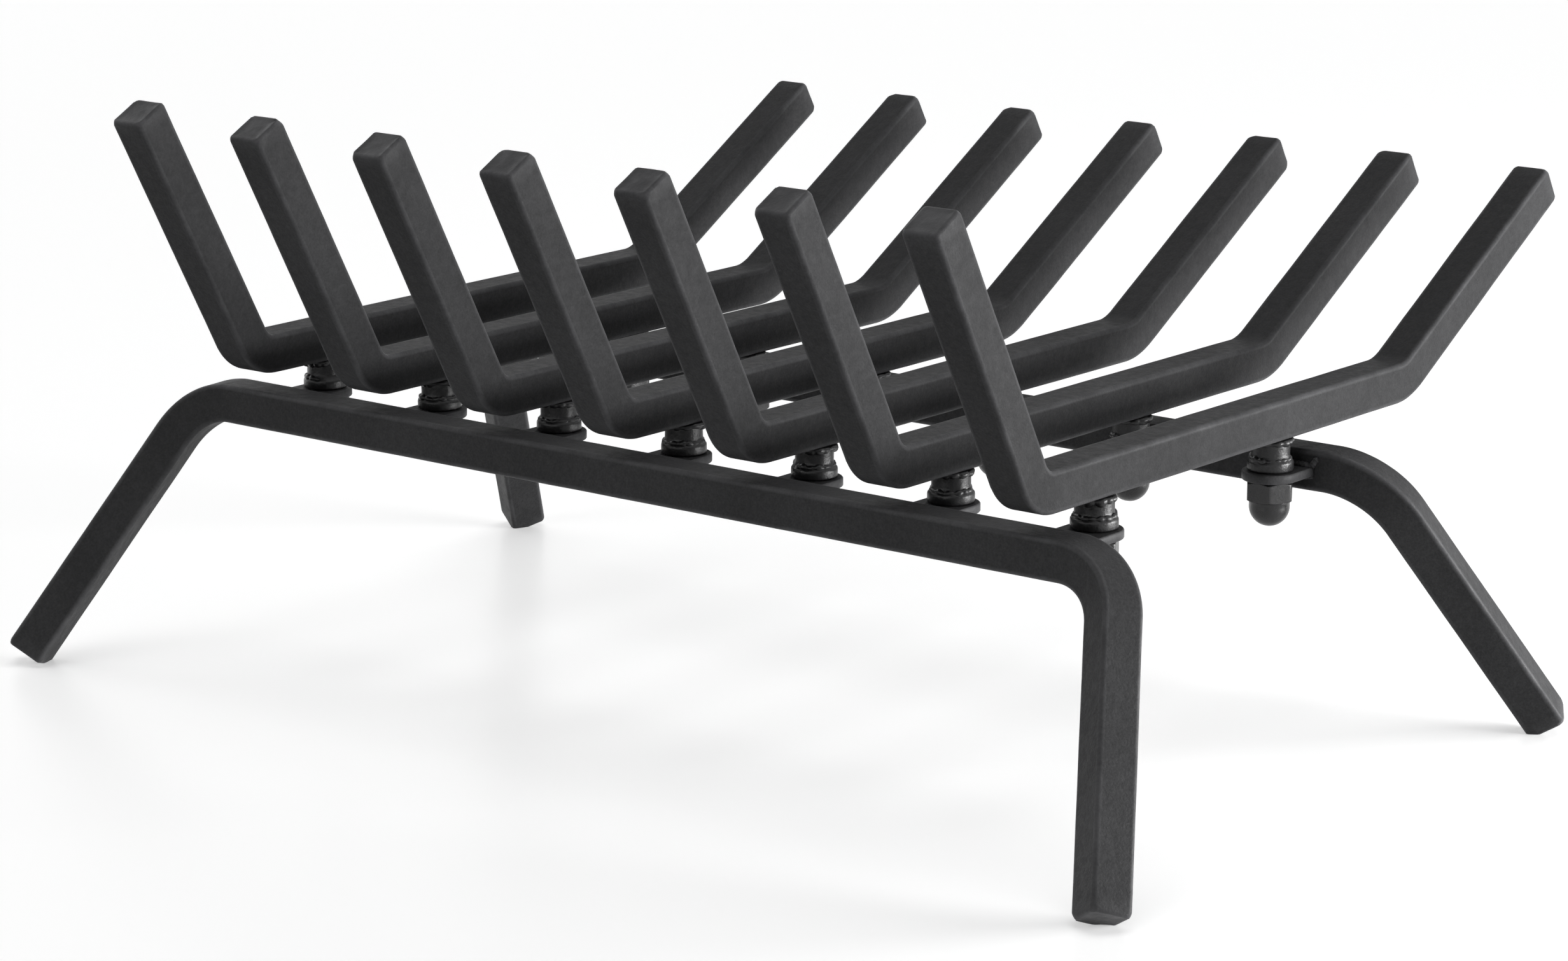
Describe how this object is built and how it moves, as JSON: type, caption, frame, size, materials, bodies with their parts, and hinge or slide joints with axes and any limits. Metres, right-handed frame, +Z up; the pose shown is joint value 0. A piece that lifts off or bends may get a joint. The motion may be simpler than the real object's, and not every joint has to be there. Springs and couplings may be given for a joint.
{
  "type": "log grate",
  "caption": "Open-hearth fireplace log grate: bent square-bar cradle with tall front and low rear fingers, bolted across two leg frames with splayed feet.",
  "frame": {"origin": "on the floor, under the middle of the grate's outer size", "axes": "+Z up, +X along the rails to the right-hand leg as seen from the front, -Y towards the front of the hearth, where the tall fingers stand"},
  "size_m": [0.556, 0.4268, 0.2395],
  "materials": {
    "bar_coat": "matt black high-temperature coating, fine grain",
    "frame_coat": "matt black high-temperature coating, fine grain",
    "post_coat": "matt black coating over turned steel and weld beads",
    "nut_black": "satin black oxide"
  },
  "bodies": {
    "root": {"cradle_bar_1": "bar_coat", "cradle_bar_2": "bar_coat", "cradle_bar_3": "bar_coat", "cradle_bar_4": "bar_coat", "cradle_bar_5": "bar_coat", "cradle_bar_6": "bar_coat", "cradle_bar_7": "bar_coat", "front_leg_frame": "frame_coat", "front_tab_1": "frame_coat", "front_tab_2": "frame_coat", "front_tab_3": "frame_coat", "front_tab_4": "frame_coat", "front_tab_5": "frame_coat", "front_tab_6": "frame_coat", "front_tab_7": "frame_coat", "front_post_1": "post_coat", "front_post_2": "post_coat", "front_post_3": "post_coat", "front_post_4": "post_coat", "front_post_5": "post_coat", "front_post_6": "post_coat", "front_post_7": "post_coat", "front_cap_nut_1": "nut_black", "front_cap_nut_2": "nut_black", "front_cap_nut_3": "nut_black", "front_cap_nut_4": "nut_black", "front_cap_nut_5": "nut_black", "front_cap_nut_6": "nut_black", "front_cap_nut_7": "nut_black", "rear_leg_frame": "frame_coat", "rear_tab_1": "frame_coat", "rear_tab_2": "frame_coat", "rear_tab_3": "frame_coat", "rear_tab_4": "frame_coat", "rear_tab_5": "frame_coat", "rear_tab_6": "frame_coat", "rear_tab_7": "frame_coat", "rear_post_1": "post_coat", "rear_post_2": "post_coat", "rear_post_3": "post_coat", "rear_post_4": "post_coat", "rear_post_5": "post_coat", "rear_post_6": "post_coat", "rear_post_7": "post_coat", "rear_cap_nut_1": "nut_black", "rear_cap_nut_2": "nut_black", "rear_cap_nut_3": "nut_black", "rear_cap_nut_4": "nut_black", "rear_cap_nut_5": "nut_black", "rear_cap_nut_6": "nut_black", "rear_cap_nut_7": "nut_black"}
  },
  "joints": []
}
